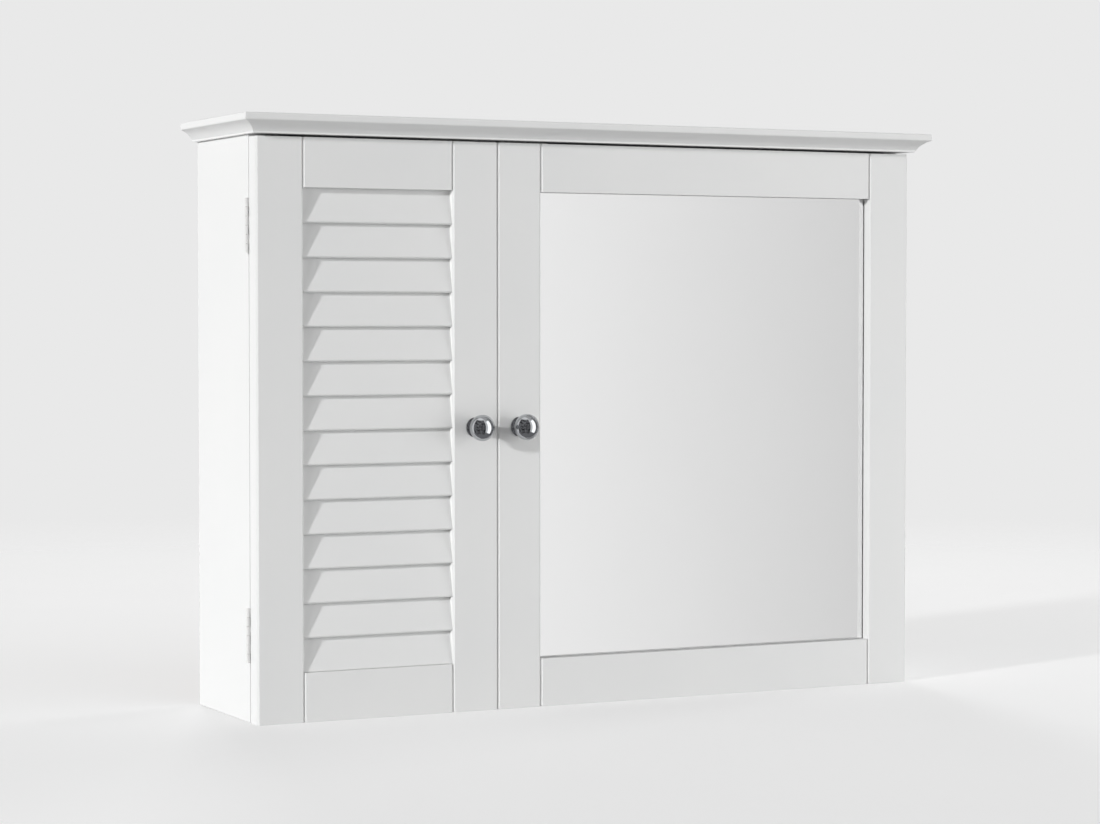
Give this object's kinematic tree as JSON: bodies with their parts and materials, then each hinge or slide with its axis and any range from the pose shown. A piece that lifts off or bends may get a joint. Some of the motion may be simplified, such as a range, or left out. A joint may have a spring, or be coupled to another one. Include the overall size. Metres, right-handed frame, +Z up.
{
  "type": "bathroom mirror cabinet",
  "caption": "Wall-hung white bathroom cabinet with a moulded cornice, a narrow louvred door, a framed mirror door, domed knobs and shelves inside.",
  "frame": {"origin": "on the wall plane, midway between the two hanging-screw holes of the hanging rail", "axes": "+X to the right as seen from the front, +Y into the wall, +Z up"},
  "size_m": [0.662, 0.164, 0.5],
  "materials": {
    "white_lacquer": "satin lacquer",
    "hardboard": "pressed, matt",
    "silvered_glass": "polished",
    "chrome_plate": "polished",
    "plated_steel": "nickel plated",
    "zinc_alloy": "die-cast, dull",
    "beech": "fluted, raw",
    "white_plastic": "moulded",
    "ferrite": "sintered, dull"
  },
  "bodies": {
    "carcass": {"back_panel": "hardboard", "bottom_panel": "white_lacquer", "cam_bolts": "zinc_alloy", "cam_locks": "zinc_alloy", "carcass_dowels": "beech", "carcass_screws": "plated_steel", "catch_magnets": "ferrite", "centre_divider": "white_lacquer", "cornice_top_board": "white_lacquer", "hanging_rail": "white_lacquer", "hinge_pins": "plated_steel", "left_shelf": "white_lacquer", "left_side_panel": "white_lacquer", "louvre_catch_case": "white_plastic", "louvre_lower_hinge_carcass_leaf": "plated_steel", "louvre_upper_hinge_carcass_leaf": "plated_steel", "mirror_catch_case": "white_plastic", "mirror_lower_hinge_carcass_leaf": "plated_steel", "mirror_upper_hinge_carcass_leaf": "plated_steel", "right_shelf": "white_lacquer", "right_side_panel": "white_lacquer", "shelf_pegs": "plated_steel"},
    "louvre_door": {"louvre_door_bottom_rail": "white_lacquer", "louvre_door_knob": "chrome_plate", "louvre_door_knob_screw": "plated_steel", "louvre_door_left_stile": "white_lacquer", "louvre_door_right_stile": "white_lacquer", "louvre_door_screws": "plated_steel", "louvre_door_top_rail": "white_lacquer", "louvre_lower_hinge_door_leaf": "plated_steel", "louvre_slat_01": "white_lacquer", "louvre_slat_02": "white_lacquer", "louvre_slat_03": "white_lacquer", "louvre_slat_04": "white_lacquer", "louvre_slat_05": "white_lacquer", "louvre_slat_06": "white_lacquer", "louvre_slat_07": "white_lacquer", "louvre_slat_08": "white_lacquer", "louvre_slat_09": "white_lacquer", "louvre_slat_10": "white_lacquer", "louvre_slat_11": "white_lacquer", "louvre_slat_12": "white_lacquer", "louvre_slat_13": "white_lacquer", "louvre_slat_14": "white_lacquer", "louvre_strike_plate": "plated_steel", "louvre_upper_hinge_door_leaf": "plated_steel"},
    "mirror_door": {"mirror_backing_board": "hardboard", "mirror_door_bottom_rail": "white_lacquer", "mirror_door_knob": "chrome_plate", "mirror_door_knob_screw": "plated_steel", "mirror_door_left_stile": "white_lacquer", "mirror_door_right_stile": "white_lacquer", "mirror_door_screws": "plated_steel", "mirror_door_top_rail": "white_lacquer", "mirror_glass": "silvered_glass", "mirror_lower_hinge_door_leaf": "plated_steel", "mirror_strike_plate": "plated_steel", "mirror_upper_hinge_door_leaf": "plated_steel"}
  },
  "joints": [
    {"name": "louvre_door_hinge", "type": "hinge", "parent": "carcass", "child": "louvre_door", "pos_m": [-0.3179, -0.124, 0], "axis": [0, 0, -1], "range_deg": [0, 180]},
    {"name": "mirror_door_hinge", "type": "hinge", "parent": "carcass", "child": "mirror_door", "pos_m": [0.3179, -0.124, 0], "axis": [0, 0, 1], "range_deg": [0, 180]}
  ]
}
